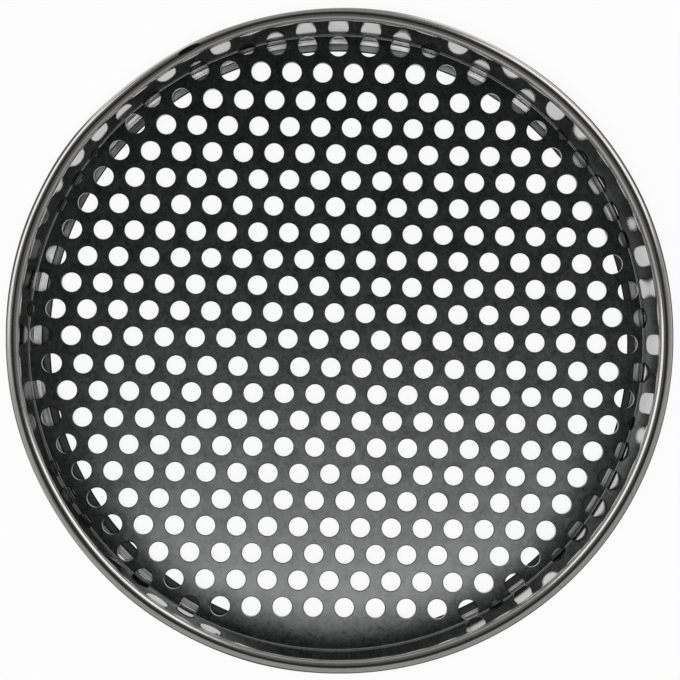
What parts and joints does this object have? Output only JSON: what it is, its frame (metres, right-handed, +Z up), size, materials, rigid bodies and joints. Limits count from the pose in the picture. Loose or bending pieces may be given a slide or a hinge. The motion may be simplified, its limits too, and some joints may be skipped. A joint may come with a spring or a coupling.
{
  "type": "soil sieve",
  "caption": "Round soil sieve: a low flared sheet steel ring with a rolled rim and a hemmed ledge turned in at its foot, holding a loose plate punched with staggered round holes.",
  "frame": {"origin": "centre of the rim, on the plane that the ring's underside rests on", "axes": "+Z up out of the sieve's mouth, +Y square across the hole rows from their bare strip towards the rows that the plate's edge cuts, +X along the rows"},
  "size_m": [0.2996, 0.2988, 0.023],
  "materials": {
    "polished_ring_steel": "polished",
    "dark_plate_steel": "dark mill finish"
  },
  "bodies": {
    "root": {"sieve_ring": "polished_ring_steel", "perforated_plate": "dark_plate_steel"}
  },
  "joints": []
}
